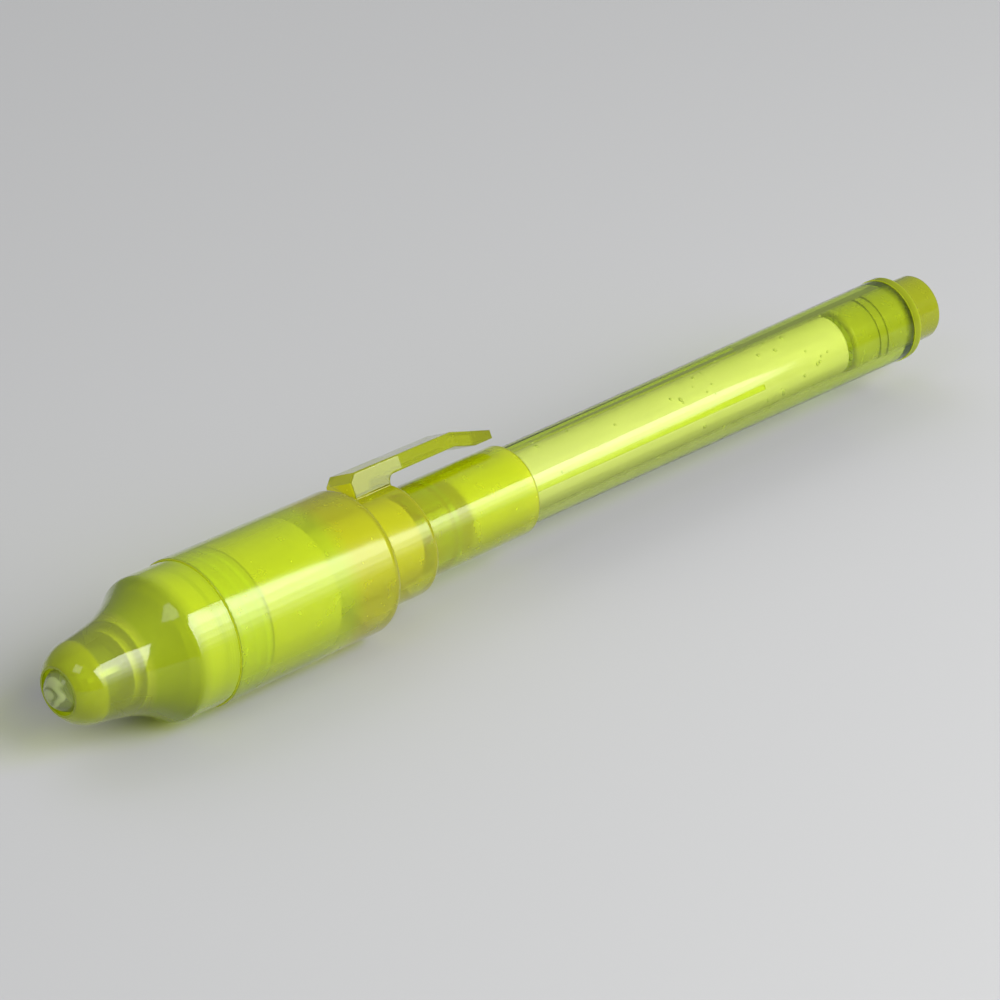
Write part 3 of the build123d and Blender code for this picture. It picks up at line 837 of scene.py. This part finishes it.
def ink_drops(work):
    for number in range(drop_count):
        x = throw.uniform(*(front_zone if number % 2 else tail_zone))
        angle, size = throw.uniform(0, math.tau), throw.uniform(*drop_sizes)
        if clear_of_ribs(x, angle):
            drop_of_ink(work, x, angle, size)


ink_finish = resin_finish("clear_ink", (0.9, 0.95, 0.6), (0.95, 0.98, 0.7), 1.15, 0.55)
new_piece("ink_drops", ink_drops, ink_finish, "pen")

# %% [markdown]
# The pen lies on a plain, matt, pale floor, which lifts the underside of the pen. It has no shine at
# all, or else it would mirror the soft box when seen at a low angle. Its tone falls off towards the
# box, where the light is strongest, so that it does not burn out there.

# %% Floor
box_turn = math.radians(22)
tone_by_metre = ((0.16, 0.53), (0.3, 0.37), (0.45, 0.22), (0.6, 0.19))
floor_mesh = bpy.data.meshes.new("floor")
floor_work = bmesh.new()
bmesh.ops.create_grid(floor_work, x_segments=2, y_segments=2, size=3.0)
floor_work.to_mesh(floor_mesh)
floor_work.free()
floor = bpy.data.objects.new("floor", floor_mesh)
floor.location = (0, 0, frame_box[0].z)
scene.collection.objects.link(floor)
floor_finish, floor_shader = new_finish("pale_floor")
floor_x, floor_y = [axis_of(floor_finish, own_place(floor_finish), axis) for axis in ("X", "Y")]
to_box = combined(
    floor_finish,
    "ADD",
    between(floor_finish, floor_x, -math.sin(box_turn), math.sin(box_turn), -1, 1),
    between(floor_finish, floor_y, math.cos(box_turn), -math.cos(box_turn), -1, 1),
)
join(floor_finish, ramp(floor_finish, to_box, *tone_by_metre), floor_shader.inputs["Base Color"])
shine = between(floor_finish, grain(floor_finish, 0.025), 0.8, 0.9)
join(floor_finish, shine, floor_shader.inputs["Roughness"])
set_sockets(floor_shader, Specular_IOR_Level=0.0)
floor_mesh.materials.append(floor_finish)
print("floor at", round(frame_box[0].z * 1000, 2), "mm")

# %% [markdown]
# One large soft box leans over the pen from the right, with a narrower panel above it, and a dim
# surround fills the shade. The box's own reflection is what shows the gloss, so its size and
# place matter more than its power: it draws the long band on the barrel and shell, and the wide
# patch on the neck. The box fades towards its lower edge, so it is laid out as a stack of strips, each
# dimmer than the one above. The surround is a little brighter overhead. That also makes Blender aim
# shadow rays at it, so that it lights the pieces inside clear plastic. A small fill from the front
# lights the faces that look along the pen, and a wide, dim one lights the pen's back without showing
# in its gloss.

# %% Light
scene.view_settings.view_transform = "Standard"
world = bpy.data.worlds.new("studio")
scene.world = world
world.use_nodes = True
surround = world.node_tree.nodes["Background"]
surround.inputs["Color"].default_value = (0.95, 0.97, 1.0, 1)
sky_height = axis_of(world, world.node_tree.nodes.new("ShaderNodeTexCoord").outputs["Generated"], "Z")
join(world, between(world, sky_height, 0.22, 0.4, -0.2, 1.0), surround.inputs["Strength"])
centre = Vector((-0.066, 0, 0))
box_lean = math.radians(49.6)
box_away, box_height = 0.65, 0.16
box_half_width, box_half_slope = 0.27, 0.25
box_out = Vector((math.sin(box_turn), -math.cos(box_turn), 0))
box_up = -box_out * math.sin(box_lean) + Vector((0, 0, math.cos(box_lean)))
box_side = Vector((math.cos(box_turn), math.sin(box_turn), 0))
box_middle = centre + box_out * box_away + Vector((0, 0, box_height))


def panel(name, radiance, side_low, side_high, up_low, up_high):
    """One lit rectangle in the soft box's plane, between limits to its side and up its slope."""
    lamp = bpy.data.lights.new(name, "AREA")
    lamp.shape = "RECTANGLE"
    lamp.size, lamp.size_y = side_high - side_low, up_high - up_low
    lamp.energy = radiance * math.pi * lamp.size * lamp.size_y
    holder = bpy.data.objects.new(name, lamp)
    side, up = (side_low + side_high) / 2, (up_low + up_high) / 2
    holder.location = box_middle + box_side * side + box_up * up
    facing = -box_out * math.cos(box_lean) - Vector((0, 0, math.sin(box_lean)))
    holder.rotation_mode = "QUATERNION"
    holder.rotation_quaternion = facing.to_track_quat("-Z", "Y")
    scene.collection.objects.link(holder)
    print(name, "gives", round(lamp.energy, 2), "W")


strip_radiance = (1.0, 1.9, 3.6, 5.8)
strip_slope = 2 * box_half_slope / len(strip_radiance)
upper_radiance, upper_right, upper_top = 7.8, 0.19, 0.42
for number, radiance in enumerate(strip_radiance):
    low = -box_half_slope + number * strip_slope
    panel(f"soft_box_{number + 1}", radiance, -box_half_width, box_half_width, low, low + strip_slope)
panel("upper_panel", upper_radiance, -box_half_width, upper_right, box_half_slope, upper_top)


# %% Fills from the front and the back
def towards(turn, height):
    """A direction from the pen, turned from -Y towards +X and raised, both in degrees."""
    turn, height = math.radians(turn), math.radians(height)
    return Vector((math.sin(turn) * math.cos(height), -math.cos(turn) * math.cos(height), math.sin(height)))


def fill(name, radiance, size, away, out):
    """A square lamp at a distance from the pen, facing it."""
    lamp = bpy.data.lights.new(name, "AREA")
    lamp.size = size
    lamp.energy = radiance * math.pi * size**2
    holder = bpy.data.objects.new(name, lamp)
    holder.location = centre + out * away
    holder.rotation_mode = "QUATERNION"
    holder.rotation_quaternion = (-out).to_track_quat("-Z", "Y")
    scene.collection.objects.link(holder)
    print(name, "gives", round(lamp.energy, 2), "W")
    return holder


fill("front_fill", 2.2, 0.2, 0.6, towards(-75, 50))
back_fill = fill("back_fill", 0.9, 0.7, 0.8, towards(165, 45))
back_fill.visible_glossy = False

# %% [markdown]
# The camera looks down on the pen from the lamp's end, with a long lens so that the barrel hardly
# tapers.

# %% Camera
distance = 0.620
back = towards(-44.787, 27.027)
right = Vector((0, 0, 1)).cross(back).normalized()
up = back.cross(right)
framing = 0.00128
camera = bpy.data.objects.new("camera", bpy.data.cameras.new("camera"))
camera.data.lens = 206.1
camera.data.clip_start, camera.data.clip_end = 0.01, 10
camera.rotation_mode = "QUATERNION"
camera.rotation_quaternion = (-back).to_track_quat("-Z", "Y")
camera.location = centre + back * distance - (right + up) * framing
scene.collection.objects.link(camera)
scene.camera = camera
print("camera", round(distance, 3), "m from the pen")
